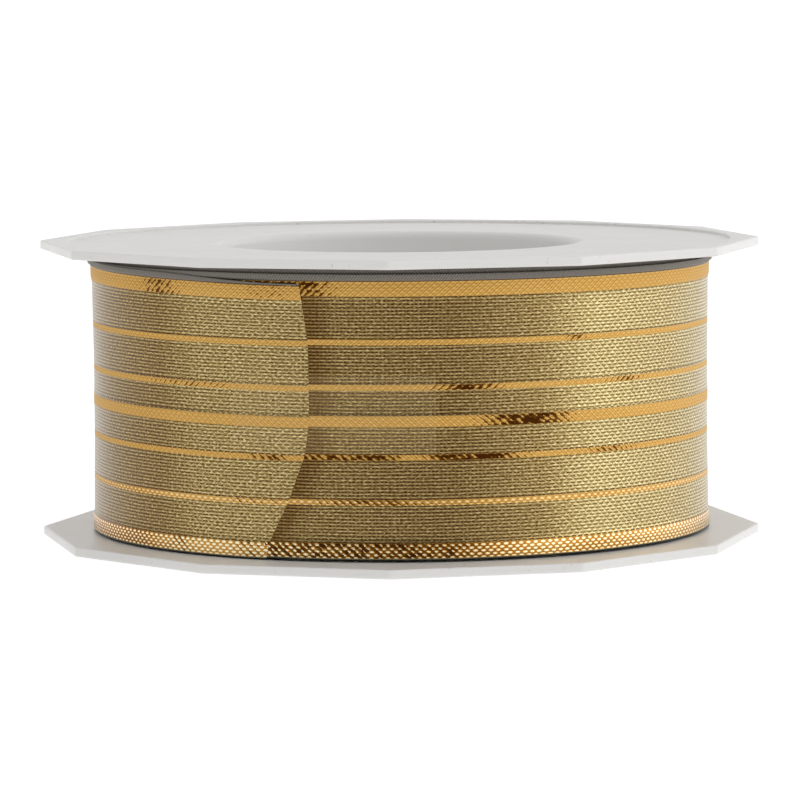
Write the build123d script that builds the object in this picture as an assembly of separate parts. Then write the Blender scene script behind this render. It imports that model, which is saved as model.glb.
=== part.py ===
from build123d import *
import math
import os

# Ribbon spool: two twelve-sided flanges, each moulded in one piece with its half of the
# core, and a roll of woven ribbon whose free end is held down by a strip of clear tape.
# Millimetres and degrees. Origin: centre of the bottom face. +Z runs up the core.
# Angles turn about +Z from +X. -Y is the front, where the ribbon's cut end lies.

# Flanges
flange_sides = 12
flange_across_flats = 100.0
flange_thickness = 1.3
flange_corner_radius = 1.2  # rounds the upright corners of the outline
flange_edge_radius = 0.25  # rounds the two long edges of the rim
rim_width = 2.4  # at the middle of a side, round the shallow recess in each outer face
recess_depth = 0.45
recess_edge_radius = 0.15

# Core: a spigot on the lower half enters a socket in the upper half at mid height
core_bore_radius = 25.5
core_wall = 1.8
bore_mouth_radius = 1.0
spigot_wall = 0.85
spigot_length = 7.0
spigot_clearance = 0.05  # radial
spigot_tip_gap = 0.2  # along Z, so that the socket's end seats on the shoulder
lead_in = 0.3  # chamfer on the spigot's tip and in the socket's mouth

# Ribbon
ribbon_width = 39.8
ribbon_thickness = 0.2
ribbon_side_clearance = 0.2  # from each edge of the ribbon to the flange beside it
pack_radius = 43.9  # the wound roll without its last turn
roll_core_clearance = 0.05  # radial, from the core to the roll's bore
layer_gap = 0.1  # between the last turn and the free end that lies on it
end_root_angle = -165.0  # where the free end starts to lift
end_cut_angle = -104.7  # where the ribbon is cut
end_hinge_gap = 0.35  # along the ribbon, room for the free end to swing
turn_arcs = 4  # the last turn is a spiral of this many arcs

# Tapes
closing_tape_length = 29.5
closing_tape_width = 10.6
closing_tape_thickness = 0.1
closing_tape_on_end = 11.9  # length of tape that is stuck to the free end
closing_tape_rise = 0.0  # centre of the tape above mid height
start_tape_length = 25.0
start_tape_width = 12.0
start_tape_thickness = 0.1
start_tape_angle = 0.0

# Worked out from the values above
core_radius = core_bore_radius + core_wall
recess_radius = flange_across_flats / 2 - rim_width
ribbon_low = flange_thickness + ribbon_side_clearance
overall_height = 2 * ribbon_low + ribbon_width
mid_height = overall_height / 2
shoulder_height = mid_height - spigot_length / 2
spigot_top = mid_height + spigot_length / 2
start_tape_height = (flange_thickness + shoulder_height) / 2
layer_pitch = ribbon_thickness + layer_gap
end_radius = pack_radius + layer_pitch  # inner face of the free end
full_turn = 360.0
half_turn = full_turn / 2


def point_at(radius, angle, centre=Vector(0, 0)):
    """The point at a radius and an angle from a centre, in the XY plane."""
    turn = math.radians(angle)
    return centre + Vector(radius * math.cos(turn), radius * math.sin(turn))


def arc_angle(length, radius):
    """The angle that an arc of this length spans."""
    return math.degrees(length / radius)


def ring(inner, outer, low, high):
    """A tube about Z between two heights."""
    section = Circle(outer) - Circle(inner)
    return extrude(Plane.XY.offset(low) * section, high - low)


def strip(inner, thickness, first, last, low, width):
    """A strip that lies on a cylinder of radius inner, from one angle to another."""
    outer = inner + thickness
    edges = [
        CenterArc((0, 0), inner, first, last - first),
        Line(point_at(inner, last), point_at(outer, last)),
        CenterArc((0, 0), outer, first, last - first),
        Line(point_at(inner, first), point_at(outer, first)),
    ]
    return extrude(Plane.XY.offset(low) * make_face(edges), width)


def edges_on_circle(shape, radius, height):
    """The round edges of a shape at one radius and one height."""
    near = 1e-3
    return [
        edge
        for edge in shape.edges().filter_by(GeomType.CIRCLE)
        if abs(edge.radius - radius) < near
        and abs(edge.arc_center.Z - height) < near
        and abs(edge.arc_center.X) < near
        and abs(edge.arc_center.Y) < near
    ]


def flange():
    """The lower flange: a rounded twelve-sided plate, recessed below and bored."""
    outline = RegularPolygon(flange_across_flats / 2, flange_sides, major_radius=False)
    outline = fillet(outline.vertices(), flange_corner_radius)
    plate = extrude(outline, flange_thickness)
    rims = plate.faces().sort_by(Axis.Z)
    plate = fillet(rims[0].edges() + rims[-1].edges(), flange_edge_radius)
    plate -= Cylinder(recess_radius, 2 * recess_depth)
    step = edges_on_circle(plate, recess_radius, 0) + edges_on_circle(
        plate, recess_radius, recess_depth
    )
    plate = fillet(step, recess_edge_radius)
    return plate - Cylinder(core_bore_radius, 2 * overall_height)


def rounded_mouth(half):
    """The half spool with the bore's mouth rounded where it meets the recess."""
    mouth = edges_on_circle(half, core_bore_radius, recess_depth)
    return fillet(mouth, bore_mouth_radius)


def lower_half_spool():
    """Lower flange and sleeve, with the spigot above its shoulder."""
    spigot_radius = core_bore_radius + spigot_wall
    sleeve = ring(core_bore_radius, core_radius, flange_thickness, shoulder_height)
    spigot = ring(core_bore_radius, spigot_radius, shoulder_height, spigot_top)
    tip = edges_on_circle(spigot, spigot_radius, spigot_top)
    return rounded_mouth(flange() + sleeve + chamfer(tip, lead_in))


def upper_half_spool():
    """Upper flange and sleeve, with the socket that goes down over the spigot."""
    socket_radius = core_bore_radius + spigot_wall + spigot_clearance
    seat = overall_height - shoulder_height
    socket_end = overall_height - (spigot_top + spigot_tip_gap)
    sleeve = ring(core_bore_radius, core_radius, flange_thickness, socket_end)
    skirt = ring(socket_radius, core_radius, socket_end, seat)
    mouth = edges_on_circle(skirt, socket_radius, seat)
    half = rounded_mouth(flange() + sleeve + chamfer(mouth, lead_in))
    return Pos(0, 0, overall_height) * Rot(half_turn, 0, 0) * half


def start_tape():
    """The double-sided tape that holds the ribbon's inner end to the core."""
    half_span = arc_angle(start_tape_length, core_radius) / 2
    return strip(
        core_radius,
        start_tape_thickness,
        start_tape_angle - half_span,
        start_tape_angle + half_span,
        start_tape_height - start_tape_width / 2,
        start_tape_width,
    )


def ribbon_roll():
    """The wound ribbon, with a pocket in its bore where it goes over the start tape."""
    bore = core_radius + roll_core_clearance
    roll = ring(bore, pack_radius, ribbon_low, ribbon_low + ribbon_width)
    return roll - start_tape()


def ribbon_outer_turn():
    """The last full turn. It starts under the free end and climbs one layer."""
    step_angle = full_turn / turn_arcs
    step_rise = layer_pitch / turn_arcs
    inner, outer = [], []
    centre = Vector(0, 0)
    for k in range(turn_arcs):
        first = end_root_angle + k * step_angle
        radius = pack_radius + k * step_rise
        if k:
            centre -= point_at(step_rise, first)
        inner.append(CenterArc(centre, radius, first, step_angle))
        outer.append(CenterArc(centre, radius + ribbon_thickness, first, step_angle))
    ends = [Line(inner[0] @ 0, outer[0] @ 0), Line(inner[-1] @ 1, outer[-1] @ 1)]
    section = make_face(inner + outer + ends)
    return extrude(Plane.XY.offset(ribbon_low) * section, ribbon_width)


def ribbon_end():
    """The free end of the ribbon, which hinges away from the roll at its root."""
    root = end_root_angle + arc_angle(end_hinge_gap, end_radius)
    return strip(
        end_radius, ribbon_thickness, root, end_cut_angle, ribbon_low, ribbon_width
    )


def closing_tape():
    """The clear tape, stuck to the free end and reaching past the cut."""
    radius = end_radius + ribbon_thickness
    first = end_cut_angle - arc_angle(closing_tape_on_end, radius)
    last = first + arc_angle(closing_tape_length, radius)
    low = mid_height + closing_tape_rise - closing_tape_width / 2
    return strip(radius, closing_tape_thickness, first, last, low, closing_tape_width)


pieces = {
    "lower_half_spool": lower_half_spool(),
    "upper_half_spool": upper_half_spool(),
    "ribbon_roll": ribbon_roll(),
    "ribbon_outer_turn": ribbon_outer_turn(),
    "ribbon_end": ribbon_end(),
    "closing_tape": closing_tape(),
    "start_tape": start_tape(),
}

os.makedirs("parts", exist_ok=True)
for name, piece in pieces.items():
    export_step(piece, f"parts/{name}.step")
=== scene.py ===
import math
import random
from types import SimpleNamespace

import bpy
import numpy as np
from mathutils import Matrix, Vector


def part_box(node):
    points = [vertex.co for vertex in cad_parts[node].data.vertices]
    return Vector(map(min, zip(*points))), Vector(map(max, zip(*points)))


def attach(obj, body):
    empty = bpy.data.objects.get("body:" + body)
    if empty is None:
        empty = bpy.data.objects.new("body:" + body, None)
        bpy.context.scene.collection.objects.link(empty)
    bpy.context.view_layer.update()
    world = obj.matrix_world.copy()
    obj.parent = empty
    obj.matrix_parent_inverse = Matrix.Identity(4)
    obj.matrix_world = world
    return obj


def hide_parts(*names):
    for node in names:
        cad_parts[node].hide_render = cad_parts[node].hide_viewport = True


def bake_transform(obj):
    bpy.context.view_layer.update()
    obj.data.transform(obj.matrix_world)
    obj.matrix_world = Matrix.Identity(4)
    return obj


# The looks of the ribbon spool. Lengths are millimetres, and angles are degrees about +Z
# from +X, except where a comment says otherwise. MM turns millimetres into metres.
MM = 0.001

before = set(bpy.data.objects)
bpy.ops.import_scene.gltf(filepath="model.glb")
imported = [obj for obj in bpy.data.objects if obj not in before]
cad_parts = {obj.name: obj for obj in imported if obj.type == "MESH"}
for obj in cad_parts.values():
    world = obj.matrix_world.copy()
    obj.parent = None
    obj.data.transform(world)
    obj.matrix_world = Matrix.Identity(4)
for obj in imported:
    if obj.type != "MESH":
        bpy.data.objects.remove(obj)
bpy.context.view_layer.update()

# Camera
CAMERA_PLACE = (17.99, -671.96, 81.6)
CAMERA_YAW = 1.53
CAMERA_PITCH = -5.2887
CAMERA_ROLL = -0.4037
CAMERA_LENS = 210.27  # on a sensor 36 mm wide
SENSOR = 36.0

# Brightness of the white tent that lights the spool
TENT_FRONT = 0.22  # behind the camera
TENT_RIGHT = 1.75
TENT_LEFT = 0.45
TENT_BACK = 0.8
TENT_TOP = 0.83
TENT_LAMP = 0.2  # added high up behind the camera

# The ribbon. Places across it are heights from the middle of its gold pattern. Its grey
# selvedges lie outside the two gold edge bands.
PATTERN_MIDDLE = 20.65  # height of the outer layers' pattern above the floor
RIBBON_HALF = 19.9  # half the ribbon's width
RIBBON_THICKNESS = 0.12
BAND_OUTER = 18.8  # both edges of the gold edge bands
BAND_INNER = 16.8
BAND_SWELL = 0.2  # how far the edge bands stand out
SELVEDGE_FLARE = 0.42  # how far the upper selvedge leans out
FLARE_DROP = 0.12  # and how far it drops by leaning
CURL_RADIUS = 0.3  # of the lower selvedge, which is curled in
WAIST = 0.16  # how far the ribbon's middle is drawn in
MIDDLE_SWELL = 0.06  # how far the middle line stands out again
ROLL_LEAN = 0.25  # the roll sits this far off the core's centre, towards +X
RIPPLE = 0.025  # height of its faint waves

# Distances between the points of the ribbon's mesh
EDGE_STEP = 0.12
FIELD_STEP = 0.6
COLUMN_STEP = 1.0  # along the ribbon

# The free end. Places along it are measured back from its cut.
END_SETTLED = 0.12  # how much closer it lies to the roll near its cut
END_SLID = 0.2  # how far it slid down
END_SLID_TOP = 0.45  # and how much more its top edge did
END_TUCK = 0.65  # share of the upper selvedge's width that is folded down near the cut
END_TUCK_DEPTH = 0.3  # how far that selvedge is pressed in
CUT_LIFT = 0.05  # outer face of the cut edge, above the turn

# The clear tape's film
FILM_LIFT = 0.07  # outer face, above the ribbon
FILM_THICKNESS = 0.05

# The gold lines of the ribbon: the lowest and highest edge of each
GOLD_LINES = {
    "upper_band": (16.8, 18.8),
    "upper_outer": (10.2, 10.95),
    "upper_inner": (4.05, 4.8),
    "middle": (-0.92, 0.55),
    "lower_inner": (-5.45, -4.7),
    "lower_outer": (-11.57, -10.82),
    "lower_band": (-18.75, -16.75),
}
ROW_PITCH = 0.464  # of the gauze, across the ribbon
STITCH_PITCH = 1.09  # along the ribbon
SATIN_ROW = 0.42  # between the rows inside a gold line
HATCH_PITCH = 0.4  # of the selvedges' slanted threads
# Share of each gold line whose beads take painted highlights
SPARKLE = {"lower_band": 1.0, "lower_outer": 0.45}
OTHER_SPARKLE = 0.12
CUT_SHADE_REACH = 5.0  # how far from the cut the painted shade reaches
CUT_SHADE_LIGHT = 0.62  # brightness of the painted shade right beside the cut, as a share

RIBBON_UV = "ribbon_mm"


def smooth(value, start, end):
    """0 before start, 1 after end, and an S-shaped rise between them."""
    t = np.clip((np.asarray(value, float) - start) / (end - start), 0, 1)
    return t * t * (3 - 2 * t)


def node_points(name):
    """A CAD node's vertices, in millimetres."""
    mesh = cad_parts[name].data
    return np.array([v.co for v in mesh.vertices]) / MM


def node_radii(name):
    """The smallest and largest radius of a CAD node about the core's axis."""
    points = node_points(name)
    radii = np.hypot(points[:, 0], points[:, 1])
    return radii.min(), radii.max()


def node_angles(name):
    """The lowest and highest angle of a CAD node that doesn't cross the -X axis."""
    points = node_points(name)
    angles = np.degrees(np.arctan2(points[:, 1], points[:, 0]))
    return angles.min(), angles.max()


def node_heights(name):
    """The lowest and highest point of a CAD node."""
    low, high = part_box(name)
    return low[2] / MM, high[2] / MM


# Taken from the CAD model
ROOT_ANGLE, CUT_ANGLE = node_angles("ribbon_end")
CORE_RADIUS, PACK_RADIUS = node_radii("ribbon_roll")
END_RADIUS = node_radii("ribbon_end")[1]
TURN_RADIUS = PACK_RADIUS + RIBBON_THICKNESS
TURN_CLIMB = END_RADIUS - TURN_RADIUS
RIBBON_LOW, RIBBON_HIGH = node_heights("ribbon_roll")
END_LENGTH = math.radians(CUT_ANGLE - ROOT_ANGLE) * END_RADIUS
TURN_LENGTH = 2 * math.pi * END_RADIUS
LENGTH_SHOWN = END_LENGTH + TURN_LENGTH


# ---------------------------------------------------------------- meshes


def grid_mesh(name, points, uvs, closed=(False, False), capped=False):
    """A mesh of quads over a grid of points, with a UV for each corner of the grid.
    A closed direction joins its last row to its first, and has one more row of UVs.
    Caps close the two open ends of a shell made by skinned()."""
    n, m = points.shape[:2]
    i, j = np.meshgrid(
        np.arange(n if closed[0] else n - 1),
        np.arange(m if closed[1] else m - 1),
        indexing="ij",
    )
    i, j = i.ravel(), j.ravel()
    corners = [(i, j), (i + 1, j), (i + 1, j + 1), (i, j + 1)]
    if capped:
        k = np.arange(m // 2 - 1)
        ring = [k, k + 1, m - 2 - k, m - 1 - k]
        first = [(0 * k, place) for place in ring]
        last = [(0 * k + n - 1, place) for place in reversed(ring)]
        corners = [np.hstack(trio) for trio in zip(corners, first, last)]
    faces = np.stack([(a % n) * m + b % m for a, b in corners], axis=1)
    mesh = bpy.data.meshes.new(name)
    mesh.from_pydata((points.reshape(-1, 3) * MM).tolist(), [], faces.tolist())
    layer = mesh.uv_layers.new(name=RIBBON_UV)
    corner_uvs = np.stack([uvs[a, b] for a, b in corners], axis=1)
    layer.data.foreach_set("uv", corner_uvs.astype(np.float32).ravel())
    mesh.shade_smooth()
    obj = bpy.data.objects.new(name, mesh)
    bpy.context.scene.collection.objects.link(obj)
    return obj


def skinned(points, uvs, thickness):
    """Closes a sheet's grid into a thin shell: its second direction runs up the outer
    face and back down the inner one."""
    along = np.gradient(points, axis=0)
    across = np.gradient(points, axis=1)
    normal = np.cross(along, across)
    normal /= np.linalg.norm(normal, axis=2, keepdims=True)
    inner = points - normal * thickness
    loop = np.concatenate([points, inner[:, ::-1]], axis=1)
    loop_uvs = np.concatenate([uvs, uvs[:, ::-1], uvs[:, :1]], axis=1)
    return loop, loop_uvs


def doubled_ends(rows):
    """The rows with one more just inside each end, so that smooth shading bends only at
    the very end."""
    near = 0.01
    second = rows[:1] + near * (rows[1:2] - rows[:1])
    last_but_one = rows[-1:] + near * (rows[-2:-1] - rows[-1:])
    return np.concatenate([rows[:1], second, rows[1:-1], last_but_one, rows[-1:]])


def shell(name, points, uvs, thickness):
    """A thin closed piece over a sheet's grid of points."""
    thickness = thickness + 0 * points[..., :1]
    sheet = [doubled_ends(rows) for rows in (points, uvs, thickness)]
    loop, loop_uvs = skinned(*sheet)
    return grid_mesh(name, loop, loop_uvs, closed=(False, True), capped=True)


def ribbon_rows():
    """Places across the ribbon where its mesh has rows, closer at both edges."""
    edge = BAND_OUTER - 0.3
    upper = np.arange(edge, RIBBON_HALF + EDGE_STEP / 2, EDGE_STEP)
    count = int(2 * edge / FIELD_STEP)
    field = np.linspace(-edge, edge, count, endpoint=False)[1:]
    return np.concatenate([-upper[::-1], field, upper])


def ribbon_section(place):
    """How far the ribbon's outer face stands out and how high it is, across its width."""
    curl = np.clip(-BAND_OUTER - place, 0, None) / CURL_RADIUS
    flare = smooth(place, BAND_OUTER, BAND_OUTER + 0.6)
    swell = smooth(abs(place), BAND_INNER - 0.4, BAND_INNER + 0.5)
    out = BAND_SWELL * swell + SELVEDGE_FLARE * flare
    out = out - CURL_RADIUS * (1 - np.cos(curl))
    middle_swell = smooth(abs(place + 0.2), 1.6, 0.7)
    waist = 1 - smooth(abs(place), 3, 17)
    out = out + MIDDLE_SWELL * middle_swell - WAIST * waist
    height = np.where(
        place < -BAND_OUTER, -BAND_OUTER - CURL_RADIUS * np.sin(curl), place
    )
    return out, height - FLARE_DROP * flare


def lean(angle):
    """How much further out the ribbon lies because the roll is off centre."""
    return ROLL_LEAN * np.cos(np.radians(angle))


def turn_radius(angle):
    """Outer radius of the last full turn, a spiral from the root angle round to it."""
    share = (np.asarray(angle) - ROOT_ANGLE) / 360
    return TURN_RADIUS + TURN_CLIMB * share + lean(angle)


def ripple(along, place):
    """The faint waves of a ribbon that was wound by machine."""
    wave = np.sin(along / 7.3 + place / 9) + 0.6 * np.sin(along / 3.1 - place / 5 + 1)
    return RIPPLE * wave


def on_cylinder(radius, angle, height):
    """Points from radii, angles and heights."""
    turn = np.radians(angle)
    return np.stack(
        [radius * np.cos(turn), radius * np.sin(turn), height + 0 * radius], axis=-1
    )


def outer_turn():
    """The last full turn of ribbon."""
    place = ribbon_rows()
    columns = int(TURN_LENGTH / COLUMN_STEP)
    angle = np.linspace(ROOT_ANGLE, ROOT_ANGLE + 360, columns + 1)
    along = END_LENGTH + np.radians(ROOT_ANGLE + 360 - angle) * END_RADIUS
    along, place = np.meshgrid(along, place, indexing="ij")
    angle = np.broadcast_to(angle[:, None], along.shape)
    out, height = ribbon_section(place)
    radius = turn_radius(angle) + out + ripple(along, place)
    points = on_cylinder(radius, angle, PATTERN_MIDDLE + height)
    uvs = np.stack([along, place], axis=-1)
    return shell("outer_turn", points, uvs, RIBBON_THICKNESS)


# The line of the cut, as (place across the ribbon, distance short of the furthest point)
CUT_LINE = [
    (-19.9, 6.6),
    (-16.5, 5.9),
    (-11, 3.1),
    (-4.7, 0.7),
    (0, 0),
    (10.5, 0.1),
    (19.9, 1.3),
]


def cut_short(place):
    """How far short of its furthest point the free end is cut at a place across it."""
    return np.interp(place, *zip(*CUT_LINE))


def end_drop(along, place):
    """How far the free end slid down while it was taped, most at its cut and its top."""
    fade = np.clip(1 - along / END_LENGTH, 0, 1)
    return fade * (END_SLID + END_SLID_TOP * smooth(place, 10, 19))


def end_surface(along, place):
    """Outer radius, height and angle of the free end, whose cut edge lies on the turn."""
    out, height = ribbon_section(place)
    near = 1 - smooth(along, 4, 26)
    tucked = smooth(place, BAND_OUTER, BAND_OUTER + 0.1) * near
    height = height - tucked * END_TUCK * (place - BAND_OUTER)
    out = out - END_TUCK_DEPTH * tucked
    angle = CUT_ANGLE - np.degrees(along / END_RADIUS)
    settled = END_SETTLED * (1 - smooth(along, 20, END_LENGTH))
    lifted = END_RADIUS - settled + lean(angle)
    lying = smooth(along - cut_short(place), 5, 0)
    radius = lifted * (1 - lying) + (turn_radius(angle) + CUT_LIFT) * lying
    radius = radius + out + ripple(along, place)
    return radius, PATTERN_MIDDLE + height - end_drop(along, place), angle


def free_end():
    """The free end of the ribbon, cut in a curve and thinned out at the cut."""
    place = ribbon_rows()
    short = cut_short(place)
    columns = int(END_LENGTH / COLUMN_STEP * 1.5)
    share = np.linspace(1, 0, columns + 1)
    share, place = np.meshgrid(share, place, indexing="ij")
    along = short + share * (END_LENGTH - short)
    radius, height, angle = end_surface(along, place)
    points = on_cylinder(radius, angle, height)
    uvs = np.stack([along, place], axis=-1)
    thickness = RIBBON_THICKNESS * smooth(along - short, -0.5, 1.5)
    return shell("free_end", points, uvs, thickness[..., None])


LAYERS = 46
LAYER_UNEVEN = 0.05  # spread of the heights of the layers' edges
PACK_COLUMNS = 200  # round the roll

# The roll's outer wall, from its foot to its top: heights, and how far each stands out
WALL_HEIGHTS = [RIBBON_LOW + 0.4, 20, 39.4, 40.1, 40.45, 40.7, 41.0, RIBBON_HIGH - 0.12]
WALL_OUT = [-0.1, 0, 0, 0.05, 0.25, 0.42, 0.45, 0.3]
WALL_INSET = 0.15  # clear of the last turn


def wound_pack():
    """The inner layers of the roll: at each end their edges stand at slightly
    different heights."""
    rng = np.random.default_rng(11)
    pitch = (PACK_RADIUS - CORE_RADIUS) / LAYERS
    turn = np.linspace(0, 360, PACK_COLUMNS, endpoint=False)

    def edge_heights(level, inward):
        """Foot, crest and foot of each layer at one end of the roll."""
        waves = rng.normal(0, LAYER_UNEVEN, (LAYERS, 3))
        phase = rng.uniform(0, 2 * math.pi, (LAYERS, 2))
        t = np.radians(turn)[:, None]
        crest = waves[:, 0] + 0.6 * waves[:, 1] * np.sin(t + phase[:, 0])
        crest = crest + 0.5 * waves[:, 2] * np.sin(3 * t + phase[:, 1])
        crest = level + inward * (0.14 + np.clip(crest, -0.12, 0.3))
        foot = crest + inward * 0.35
        return np.stack([foot, crest, crest], axis=2).reshape(len(turn), -1)

    start = CORE_RADIUS + pitch * np.arange(LAYERS)[:, None]
    radii = (start + pitch * np.array([0.0, 0.3, 0.8])).ravel()
    radii = np.broadcast_to(radii, (len(turn), len(radii)))
    low = edge_heights(RIBBON_LOW, 1)
    high = edge_heights(RIBBON_HIGH, -1)
    wall = np.array(WALL_HEIGHTS)
    wall_radii = PACK_RADIUS - WALL_INSET + np.array(WALL_OUT) + lean(turn)[:, None]
    walls = np.broadcast_to(wall, wall_radii.shape)
    radius = np.concatenate([radii, wall_radii, radii[:, ::-1]], axis=1)
    height = np.concatenate([low, walls, high[:, ::-1]], axis=1)
    along = np.linspace(0, TURN_LENGTH, PACK_COLUMNS + 1)
    angle = np.broadcast_to(turn[:, None], radius.shape)
    points = on_cylinder(radius, angle, height)
    middle = (RIBBON_LOW + RIBBON_HIGH) / 2
    count = radii.shape[1]
    edge = np.full(count, RIBBON_HALF - 0.4)
    place = np.concatenate([-edge, wall - middle, edge, -edge[:1]])
    uvs = np.stack(np.meshgrid(along, place, indexing="ij"), axis=-1)
    return grid_mesh("wound_pack", points, uvs, closed=(True, True))


def closing_tape_film():
    """The clear tape. It lies on the free end, then steps down over the cut."""
    first, last = node_angles("closing_tape")
    low, high = node_heights("closing_tape")
    angle = np.linspace(first, last, 100)
    height = np.linspace(low, high, 24)
    angle, height = np.meshgrid(angle, height, indexing="ij")
    along = np.radians(CUT_ANGLE - angle) * END_RADIUS
    place = height - PATTERN_MIDDLE
    cut = cut_short(place)
    on_end = end_surface(np.clip(along, 0, None), place)[0]
    out = ribbon_section(place)[0] + ripple(along + TURN_LENGTH, place)
    on_turn = turn_radius(angle) + out
    past = smooth(cut - along, -0.2, 2.2)
    radius = on_end * (1 - past) + on_turn * past + FILM_LIFT
    points = on_cylinder(radius, angle, height)
    across = np.where(along > cut, along, along + TURN_LENGTH)
    uvs = np.stack([across, place], axis=-1)
    return shell("closing_tape_film", points, uvs, FILM_THICKNESS)


# ---------------------------------------------------------------- materials


class Surface:
    """A node material, built by joining values with maths. A value is a number or the
    output of another node."""

    def __init__(self, name):
        self.material = bpy.data.materials.new(name)
        self.material.use_nodes = True
        self.tree = self.material.node_tree
        self.tree.nodes.clear()
        self.shader = self.add("ShaderNodeBsdfPrincipled")
        output = self.add("ShaderNodeOutputMaterial")
        self.tree.links.new(self.shader.outputs[0], output.inputs["Surface"])

    def add(self, kind, inputs=(), **settings):
        """Adds a node, with its inputs as {socket: value}."""
        node = self.tree.nodes.new(kind)
        for key, value in settings.items():
            setattr(node, key, value)
        for key, value in dict(inputs).items():
            self.put(node.inputs[key], value)
        return node

    def put(self, socket, value):
        if isinstance(value, bpy.types.NodeSocket):
            self.tree.links.new(value, socket)
        elif isinstance(value, tuple) and socket.type == "RGBA":
            socket.default_value = (*value, 1.0)
        else:
            socket.default_value = value

    def finish(self, **inputs):
        """Sets the shader's inputs and returns the material."""
        for key, value in inputs.items():
            self.put(self.shader.inputs[key.replace("_", " ")], value)
        return self.material

    def math(self, operation, *values):
        node = self.add("ShaderNodeMath", enumerate(values), operation=operation)
        return node.outputs[0]

    def plus(self, *values):
        total = values[0]
        for value in values[1:]:
            total = self.math("ADD", total, value)
        return total

    def times(self, *values):
        total = values[0]
        for value in values[1:]:
            total = self.math("MULTIPLY", total, value)
        return total

    def less(self, a, b):
        return self.math("SUBTRACT", a, b)

    def step(self, value, start, end, low=0.0, high=1.0):
        """low before start, high after end, and an S-shaped change between them."""
        inputs = {0: value, 1: start, 2: end, 3: low, 4: high}
        node = self.add("ShaderNodeMapRange", inputs, interpolation_type="SMOOTHSTEP")
        return node.outputs[0]

    def band(self, value, low, high, soft):
        """1 between low and high, and 0 outside them."""
        rise = self.step(value, low - soft, low + soft)
        return self.times(rise, self.step(value, high - soft, high + soft, 1.0, 0.0))

    def mix(self, share, a, b):
        inputs = {"Factor": share, 6: a, 7: b}
        return self.add("ShaderNodeMix", inputs, data_type="RGBA").outputs[2]

    def vector(self, x, y, z=0.0):
        return self.add("ShaderNodeCombineXYZ", {0: x, 1: y, 2: z}).outputs[0]

    def noise(self, vector, scale, detail=2.0):
        inputs = {"Vector": vector, "Scale": scale, "Detail": detail}
        return self.add("ShaderNodeTexNoise", inputs).outputs["Fac"]

    def ramp(self, value, stops):
        """A grey ramp through (position, value) stops."""
        node = self.add("ShaderNodeValToRGB", {"Fac": value})
        elements = node.color_ramp.elements
        while len(elements) < len(stops):
            elements.new(0.5)
        for element, (place, grey) in zip(elements, stops):
            element.position = place
            element.color = (grey, grey, grey, 1)
        return node.outputs["Color"]

    def along_and_across(self):
        """Place along and across the ribbon, in millimetres."""
        uv = self.add("ShaderNodeUVMap", uv_map=RIBBON_UV).outputs[0]
        split = self.add("ShaderNodeSeparateXYZ", {0: uv})
        return split.outputs[0], split.outputs[1]

    def brickwork(self, u, v, row_pitch, pitch):
        """Place across a row and along a stitch, both 0 to 1, in rows that are staggered."""
        rows = self.math("DIVIDE", v, row_pitch)
        shift = self.times(self.math("FLOOR", rows), 0.5)
        along = self.plus(self.math("DIVIDE", u, pitch), shift)
        return self.math("FRACT", rows), self.math("FRACT", along)

    def painted_shade_by_cut(self, u, v):
        """Less than 1 on the turn near the cut, on both sides of it: painted shade that dims
        the gauze beside the free end's cut edge.
        """
        across = self.plus(self.math("DIVIDE", v, 2 * RIBBON_HALF), 0.5)
        most = 10  # a ramp's values stay below 1
        stops = [(0.5 + place / (2 * RIBBON_HALF), short / most) for place, short in CUT_LINE]
        cut = self.plus(TURN_LENGTH, self.times(self.ramp(across, stops), most))
        away = self.math("ABSOLUTE", self.less(cut, u))
        return self.step(away, 0.0, CUT_SHADE_REACH, CUT_SHADE_LIGHT, 1.0)

    def bump(self, height, distance, strength=1.0):
        inputs = {"Height": height, "Distance": distance * MM, "Strength": strength}
        return self.add("ShaderNodeBump", inputs).outputs[0]


# Lengths of the gold lines painted dark: painted reflection of the dim room, where their
# threads lie the other way. As (first, last, depth), where first and last are angles from
# the front of the spool
END_PAINTED_DARK = {
    "upper_band": [(-55, -42, 0.5), (-31, -16, 0.3)],
    "upper_inner": [(-53, -31, 0.35)],
    "lower_inner": [(-28, -17.5, 0.6)],
    "lower_outer": [(-34, -20, 0.35)],
    "lower_band": [(-47, -40, 0.4), (-31, -25, 0.4)],
}
TURN_PAINTED_DARK = {
    "upper_band": [(-45, -12, 0.7), (24, 30, 0.25)],
    "upper_outer": [(31, 35, 0.6)],
    "upper_inner": [(7, 17, 0.85), (40, 50, 0.5)],
    "middle": [(15, 31, 0.8)],
    "lower_inner": [(-15, 2, 0.65), (5, 22, 0.85), (35, 48, 0.5)],
    "lower_outer": [(-15, 6, 0.5)],
    "lower_band": [(-4, 14, 0.6)],
}
FRONT = -90 + CAMERA_YAW
# how strongly the painted dark reflection darkens the gold lines
PAINTED_DARK_CONTRAST = 1.25
MOST_STOPS = 32  # that a colour ramp can hold


def end_along(angle):
    """Place along the free end at an angle from the front."""
    return math.radians(CUT_ANGLE - (FRONT + angle)) * END_RADIUS


def turn_along(angle):
    """Place along the last turn at an angle from the front."""
    return END_LENGTH + math.radians(ROOT_ANGLE + 360 - (FRONT + angle)) * END_RADIUS


def painted_light_stops():
    """Ramp stops for the painted light on the gauze: painted dim at the front of the last
    turn, and painted brighter on the free end and round to the right."""
    painted_light = [
        (0.0, 0.54),
        (end_along(-38), 0.53),
        (end_along(-49), 0.4),
        (end_along(-60), 0.4),
        (end_along(-76), 0.38),
        (turn_along(180), 0.6),
        (turn_along(75), 0.66),
        (turn_along(50), 0.7),
        (turn_along(38), 0.74),
        (turn_along(26), 0.46),
        (turn_along(10), 0.39),
        (turn_along(-14), 0.43),
    ]
    return [(along / LENGTH_SHOWN, value) for along, value in painted_light]


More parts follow.
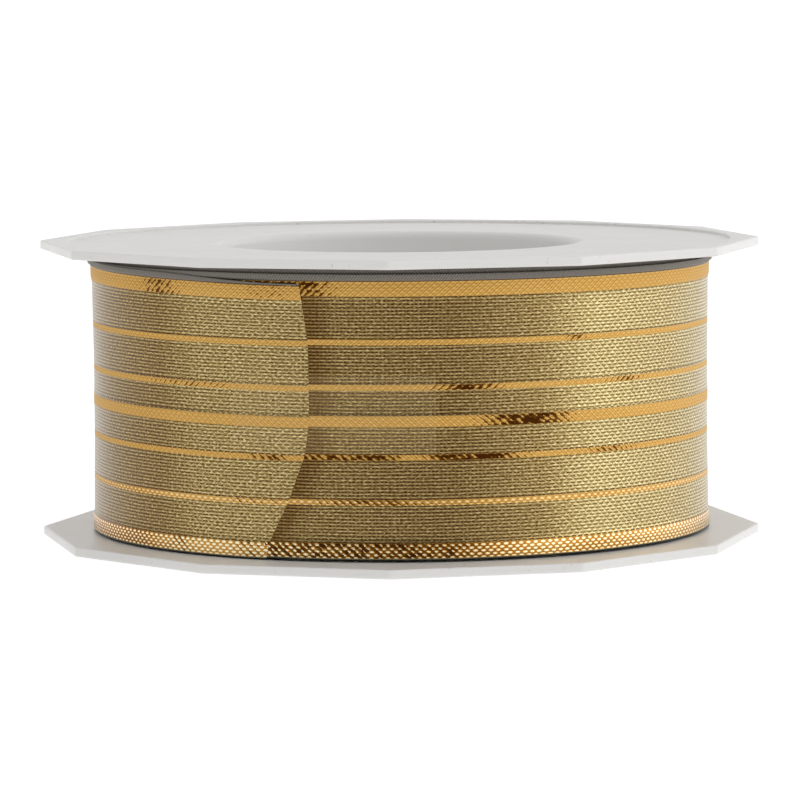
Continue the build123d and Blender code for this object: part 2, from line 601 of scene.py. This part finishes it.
def painted_glint_stops():
    """Ramp stops for how much painted glint the lower band has."""
    glitter = [
        (0.0, 0.7),
        (end_along(-28), 1.0),
        (end_along(-44), 1.0),
        (end_along(-54), 0.15),
        (turn_along(62), 0.8),
        (turn_along(48), 0.75),
        (turn_along(36), 0.4),
        (turn_along(26), 0.8),
        (turn_along(12), 0.1),
        (turn_along(-2), 0.1),
        (turn_along(-8), 0.6),
    ]
    return [(along / LENGTH_SHOWN, value) for along, value in glitter]


def painted_dark_stops(name):
    """Ramp stops for the painted dark reflection along one gold line, the unseen back
    included.
    """
    rng = random.Random(name)
    lengths = [(end_along(b), end_along(a), d) for a, b, d in END_PAINTED_DARK.get(name, [])]
    lengths += [(turn_along(b), turn_along(a), d) for a, b, d in TURN_PAINTED_DARK.get(name, [])]
    place = END_LENGTH + rng.uniform(5, 20)
    while place < turn_along(92):
        size = rng.uniform(4, 14)
        lengths.append((place, place + size, rng.uniform(0.35, 0.85)))
        place += size + rng.uniform(18, 40)
    stops = [(0.0, 0.0)]
    for first, last, depth in sorted(lengths):
        soft = min(4.0, (last - first) / 2.2)
        for place, value in (
            (first - soft, 0.0),
            (first + soft, depth),
            (last - soft, depth),
            (last + soft, 0.0),
        ):
            stops.append((min(max(place / LENGTH_SHOWN, 0.0), 1.0), value))
    return stops[:MOST_STOPS]


def weave_places(s):
    """Places in the weave, with the small irregularities of real thread."""
    u, v = s.along_and_across()
    wander = s.noise(s.vector(s.times(u, 0.07), s.times(v, 0.4)), 1.0)
    strain = s.noise(s.vector(u, v), 0.5)
    return SimpleNamespace(
        u=u,
        v=v,
        position=s.math("DIVIDE", u, LENGTH_SHOWN),
        v_row=s.plus(v, s.times(s.less(wander, 0.5), 0.25)),
        u_row=s.plus(u, s.times(s.less(strain, 0.5), 0.5)),
        fleck=s.noise(s.vector(s.times(u, 2.0), s.times(v, 5.0)), 1.0),
        patch=s.noise(s.vector(s.times(u, 0.3), s.times(v, 0.15)), 1.0),
    )


def gauze(s, w):
    """Each row is a line of gold stitches, lighter or darker with the painted light.
    Staggered ticks join the rows where the painted light is bright, and finer ones where it
    is dim."""
    # painted shade beside the cut, which also thins the ticks there
    cut_shade = s.painted_shade_by_cut(w.u, w.v)
    flecked = s.step(w.fleck, 0.3, 0.7, 0.65, 1.4)
    painted_light = s.times(s.ramp(w.position, painted_light_stops()), flecked, cut_shade, 1.15)
    lit = s.step(painted_light, 0.4, 0.8)
    across, stitch = s.brickwork(w.u_row, w.v_row, ROW_PITCH, STITCH_PITCH)
    thread = s.band(across, 0.26, 0.74, 0.15)
    knot = s.step(s.math("PINGPONG", stitch, 0.5), 0.26, 0.0, 0.0, 0.58)
    stitched = s.less(1.0, s.times(knot, s.plus(0.35, s.times(lit, 0.65))))

    between = s.plus(w.v_row, ROW_PITCH / 2)
    gap = s.brickwork(w.u_row, between, ROW_PITCH, STITCH_PITCH)[1]
    columns = s.math("PINGPONG", s.math("DIVIDE", w.u_row, STITCH_PITCH / 2), 0.5)
    fine = s.step(columns, 0.24, 0.05, 0.0, 0.5)
    staggered = s.step(s.math("PINGPONG", gap, 0.5), 0.2, 0.05)
    tick = s.plus(fine, s.times(lit, s.less(staggered, fine)))
    tick = s.times(tick, s.step(w.patch, 0.35, 0.65, 0.7, 1.0), cut_shade)
    tick = s.times(tick, s.less(1.0, thread))
    row = s.plus(s.times(thread, stitched), s.times(tick, 0.85))

    # painted light and painted shade: rows and gaps are lighter where the brightness ramp is
    # high
    shade = s.mix(lit, (0.065, 0.018, 0.001), (0.22, 0.14, 0.035))
    gleam = s.mix(painted_light, (0.48, 0.3, 0.036), (0.95, 0.82, 0.45))
    colour = s.mix(row, shade, s.mix(painted_light, shade, gleam))
    return SimpleNamespace(
        colour=colour, row=row, tick=tick, stitch=stitch, flecked=flecked
    )


def line_shares(s, w):
    """How much of each place lies in a gold line and in the dotted thread above one, how
    much painted dark reflection it has, and how much painted highlight its beads take."""
    lines, painted_dark, sparkle, dotted = 0.0, 0.0, 0.0, 0.0
    for name, (low, high) in GOLD_LINES.items():
        line = s.band(w.v, low, high, 0.05)
        lines = s.plus(lines, line)
        painted_dark = s.plus(painted_dark, s.times(line, s.ramp(w.position, painted_dark_stops(name))))
        sparkle = s.plus(sparkle, s.times(line, SPARKLE.get(name, OTHER_SPARKLE)))
        dotted = s.plus(dotted, s.band(w.v, high + 0.04, high + 0.24, 0.05))
    ragged = s.noise(s.vector(s.times(w.u, 0.9), s.times(w.v, 1.5)), 1.0)
    painted_dark = s.times(painted_dark, s.step(ragged, 0.3, 0.7, 0.6, 1.3))
    return lines, painted_dark, sparkle, dotted


def gold_lines(s, w):
    """Closely packed gold thread in slanted ribs and beads, darkened by painted dark
    reflection on its dark lengths, and with painted highlights on its beads where it
    sparkles."""
    lines, painted_dark, sparkle, dotted = line_shares(s, w)
    across, satin = s.brickwork(w.u_row, w.v_row, SATIN_ROW, STITCH_PITCH)
    bead = s.step(s.math("PINGPONG", satin, 0.5), 0.05, 0.5)
    bead = s.times(bead, s.step(s.math("PINGPONG", across, 0.5), -0.05, 0.38))
    dot = s.step(bead, 0.05, 0.4)
    # painted glint along the lower band, by place
    painted_glint = s.ramp(w.position, painted_glint_stops())
    grain = s.less(w.fleck, 0.5)
    glint = s.plus(bead, s.times(grain, 0.5), s.times(painted_glint, 0.4))
    glint = s.step(glint, 0.6, 0.85)
    slant = s.times(s.math("SIGN", s.less(w.v, 1.0)), w.v_row, 1.1)
    strokes = s.plus(s.math("DIVIDE", w.u_row, STITCH_PITCH), slant)
    twill = s.math("PINGPONG", strokes, 0.5)
    raised = s.plus(s.times(dot, 0.15), s.times(twill, 1.5), s.times(grain, 0.35))
    bright = s.step(s.less(raised, s.times(painted_dark, PAINTED_DARK_CONTRAST)), -0.28, -0.06)

    rib = s.step(s.math("PINGPONG", s.times(strokes, 2), 0.5), 0.0, 0.3)
    smooth_gold = s.mix(rib, (0.46, 0.24, 0.04), (0.73, 0.465, 0.13))
    # painted light: the hollows are lighter where the painted glint is strong
    hollow = s.mix(painted_glint, (0.15, 0.04, 0.004), (0.6, 0.3, 0.06))
    valley = s.mix(sparkle, smooth_gold, hollow)
    stray = s.times(s.band(satin, 0.38, 0.62, 0.1), s.band(across, 0.6, 0.9, 0.1))
    valley = s.mix(s.times(stray, 0.8), valley, (0.3, 0.12, 0.02))
    # painted highlights: the beads' crests are orange, and cream where they glint
    crest = s.mix(sparkle, smooth_gold, (1.0, 0.53, 0.12))
    crest = s.mix(s.times(glint, sparkle), crest, (1.0, 0.95, 0.66))
    # painted dark reflection: the colour of the gold lines' dark lengths
    dark = s.mix(s.times(painted_dark, 1.3), (0.36, 0.16, 0.02), (0.07, 0.02, 0.002))
    colour = s.mix(bright, dark, s.mix(dot, valley, crest))
    return SimpleNamespace(
        colour=colour, lines=lines, sparkle=sparkle, dotted=dotted, dot=dot
    )


def selvedges(s, w, flecked, colour):
    """Adds the grey edges of the ribbon to its colour. The lower one is curled in, with
    a pale thread at the fold, and its underside painted near-black as the shadow in the gap
    below it."""
    away = s.math("ABSOLUTE", w.v)
    share = s.step(away, BAND_OUTER + 0.05, BAND_OUTER + 0.15)
    hatch = s.plus(w.u, s.times(w.v, 0.7))
    hatch = s.math("SINE", s.times(hatch, 2 * math.pi / HATCH_PITCH))
    hatch = s.step(hatch, -1.0, 1.0)
    grey = s.times(hatch, flecked, 0.7)
    grey = s.mix(grey, (0.12, 0.108, 0.094), (0.26, 0.24, 0.21))
    colour = s.mix(share, colour, grey)
    edge_line = s.band(away, BAND_OUTER + 0.02, BAND_OUTER + 0.14, 0.03)
    colour = s.mix(edge_line, colour, (0.05, 0.016, 0.006))
    # painted shadow: the curled underside is near-black, and fully metallic below
    painted_curl_shadow = s.step(w.v, -BAND_OUTER - 0.12, -BAND_OUTER - 0.02, 1.0, 0.0)
    colour = s.mix(painted_curl_shadow, colour, (0.01, 0.008, 0.007))
    fold_thread = s.band(w.v, -BAND_OUTER - 0.14, -BAND_OUTER - 0.04, 0.03)
    colour = s.mix(fold_thread, colour, (0.2, 0.21, 0.19))
    return SimpleNamespace(
        colour=colour, share=share, hatch=hatch, painted_curl_shadow=painted_curl_shadow
    )


def ribbon_material():
    """Gauze of gold thread with denser gold lines, between grey selvedges."""
    s = Surface("woven_gold_ribbon")
    w = weave_places(s)
    field = gauze(s, w)
    gold = gold_lines(s, w)
    colour = s.mix(gold.lines, field.colour, gold.colour)
    dots = s.times(gold.dotted, s.band(field.stitch, 0.2, 0.8, 0.08))
    colour = s.mix(s.times(dots, 0.8), colour, (0.09, 0.03, 0.004))
    edge = selvedges(s, w, field.flecked, colour)

    threads = s.less(1.0, s.times(field.tick, s.less(1.0, gold.lines), 0.4))
    threads = s.times(s.less(1.0, edge.share), threads)
    satin_rough = s.times(gold.lines, s.less(1.0, gold.sparkle), 0.42)
    relief = s.plus(
        field.row,
        s.times(gold.lines, gold.dot, 0.8),
        s.times(edge.hatch, edge.share),
    )
    return s.finish(
        Base_Color=edge.colour,
        Metallic=s.math("MAXIMUM", threads, edge.painted_curl_shadow),
        Roughness=s.plus(0.27, satin_rough, s.times(edge.share, 0.4)),
        Sheen_Weight=0.2,
        Sheen_Tint=(1.0, 0.9, 0.76),
        Sheen_Roughness=0.28,
        Normal=s.bump(relief, 0.02, 0.7),
    )


def plastic_material():
    """White polystyrene with a soft gloss, faint flow marks and a few specks of dust."""
    s = Surface("white_polystyrene")
    place = s.add("ShaderNodeTexCoord").outputs["Object"]
    cloud = s.noise(place, 45.0, 3.0)
    speck = s.step(s.noise(place, 1400.0, 0.0), 0.8, 0.82)
    colour = s.mix(cloud, (0.715, 0.705, 0.69), (0.74, 0.73, 0.715))
    colour = s.mix(s.times(speck, 0.35), colour, (0.42, 0.41, 0.39))
    rough = s.step(s.noise(place, 120.0), 0.3, 0.7, 0.28, 0.34)
    return s.finish(
        Base_Color=colour,
        Roughness=rough,
        IOR=1.5,
        Specular_IOR_Level=0.2,
        Subsurface_Weight=0.35,
        Subsurface_Radius=(1.0, 1.0, 0.9),
        Subsurface_Scale=0.0012,
        Normal=s.bump(s.noise(place, 60.0, 1.0), 0.02, 0.1),
    )


def tape_material():
    """Clear film, faintly golden where its glue has wetted the threads below."""
    s = Surface("clear_film")
    u, v = s.along_and_across()
    columns = s.math("PINGPONG", s.math("DIVIDE", u, STITCH_PITCH / 2), 0.5)
    rows = s.math("PINGPONG", s.math("DIVIDE", v, ROW_PITCH), 0.5)
    wet = s.times(s.step(columns, 0.24, 0.06), s.step(rows, 0.35, 0.1))
    wet = s.times(wet, s.noise(s.vector(u, v), 1.2))
    alpha = s.plus(0.03, s.times(wet, 0.08))
    return s.finish(
        Base_Color=(0.9, 0.7, 0.34),
        Alpha=alpha,
        Roughness=0.3,
    )


def tissue_material():
    """Matt white tissue of the double-sided tape on the core."""
    s = Surface("white_tissue")
    place = s.add("ShaderNodeTexCoord").outputs["Object"]
    fibre = s.noise(place, 1500.0, 3.0)
    colour = s.mix(fibre, (0.72, 0.7, 0.65), (0.86, 0.85, 0.81))
    return s.finish(Base_Color=colour, Roughness=0.85, Normal=s.bump(fibre, 0.03, 0.5))


def floor_material():
    """White paper. Most of its light is its own, so that shadows on it stay faint."""
    s = Surface("studio_floor")
    return s.finish(
        Base_Color=(0.3, 0.3, 0.3),
        Roughness=0.9,
        Emission_Color=(1.0, 1.0, 1.0),
        Emission_Strength=0.8,
    )


# ---------------------------------------------------------------- pieces


def wear(obj, material):
    """Gives every face of an object one material."""
    obj.data.materials.clear()
    obj.data.materials.append(material)


def dress_cad_node(name, material):
    """A CAD node that stays as it is takes the material in each of its slots."""
    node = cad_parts[name]
    for slot in node.material_slots:
        slot.material = material


def make_pieces():
    """The visible pieces and the material of each. The pack, the turn and the film are given
    their bodies.
    """
    ribbon = ribbon_material()
    pack, turn, end, film = wound_pack(), outer_turn(), free_end(), closing_tape_film()
    for piece in (pack, turn, end):
        wear(piece, ribbon)
    wear(film, tape_material())

    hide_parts("ribbon_roll")
    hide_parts("ribbon_outer_turn")
    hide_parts("ribbon_end")
    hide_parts("closing_tape")

    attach(pack, "lower_half")
    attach(turn, "lower_half")
    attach(film, "free_end")
    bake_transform(end)

    plastic = plastic_material()
    dress_cad_node("lower_half_spool", plastic)
    dress_cad_node("upper_half_spool", plastic)
    dress_cad_node("start_tape", tissue_material())


# ---------------------------------------------------------------- studio


def make_camera():
    data = bpy.data.cameras.new("camera")
    data.sensor_width = SENSOR
    data.lens = CAMERA_LENS
    data.clip_start, data.clip_end = 0.01, 200
    camera = bpy.data.objects.new("camera", data)
    bpy.context.scene.collection.objects.link(camera)
    camera.matrix_world = (
        Matrix.Translation([c * MM for c in CAMERA_PLACE])
        @ Matrix.Rotation(math.radians(CAMERA_YAW), 4, "Z")
        @ Matrix.Rotation(math.radians(90 + CAMERA_PITCH), 4, "X")
        @ Matrix.Rotation(math.radians(CAMERA_ROLL), 4, "Z")
    )
    bpy.context.scene.camera = camera


FLOOR_HALF = 60.0  # metres


def make_floor():
    half = FLOOR_HALF
    corners = [(-half, -half, 0), (half, -half, 0), (half, half, 0), (-half, half, 0)]
    mesh = bpy.data.meshes.new("floor")
    mesh.from_pydata(corners, [], [(0, 1, 2, 3)])
    floor = bpy.data.objects.new("floor", mesh)
    bpy.context.scene.collection.objects.link(floor)
    wear(floor, floor_material())


def make_studio_light():
    """A white tent: dim behind the camera, brighter on the left, at the back and above,
    and brightest on the right."""
    world = bpy.data.worlds.new("tent")
    world.use_nodes = True
    tree = world.node_tree
    bpy.context.scene.world = world
    background = tree.nodes["Background"]
    background.inputs["Color"].default_value = (1.0, 1.0, 1.0, 1.0)

    def node(kind, inputs=(), **settings):
        made = tree.nodes.new(kind)
        for key, value in settings.items():
            setattr(made, key, value)
        for key, value in dict(inputs).items():
            if isinstance(value, bpy.types.NodeSocket):
                tree.links.new(value, made.inputs[key])
            else:
                made.inputs[key].default_value = value
        return made.outputs[0]

    def fade(value, start, end, low, high):
        inputs = {0: value, 1: start, 2: end, 3: low, 4: high}
        return node("ShaderNodeMapRange", inputs, interpolation_type="SMOOTHSTEP")

    def math_node(operation, a, b):
        return node("ShaderNodeMath", {0: a, 1: b}, operation=operation)

    direction = tree.nodes.new("ShaderNodeTexCoord").outputs["Generated"]
    split = tree.nodes.new("ShaderNodeSeparateXYZ")
    tree.links.new(direction, split.inputs[0])
    x, y, z = split.outputs
    right = fade(x, 0.25, 0.95, TENT_FRONT, TENT_RIGHT)
    left = fade(x, -0.35, -0.85, 0.0, TENT_LEFT)
    back = fade(y, -0.2, 0.9, TENT_FRONT, TENT_BACK)
    sides = math_node("MAXIMUM", math_node("ADD", right, left), back)
    level = fade(z, 0.25, 0.8, 1.0, 0.0)
    top = fade(z, 0.25, 0.8, 0.0, TENT_TOP)
    behind_camera = fade(y, -0.3, -0.8, 0.0, TENT_LAMP)
    lamp = math_node("MULTIPLY", behind_camera, fade(z, 0.2, 0.45, 0.0, 1.0))
    above = math_node("ADD", top, lamp)
    total = math_node("ADD", math_node("MULTIPLY", sides, level), above)
    tree.links.new(total, background.inputs["Strength"])


make_camera()
make_floor()
make_studio_light()
make_pieces()
bpy.context.scene.view_settings.view_transform = "Standard"
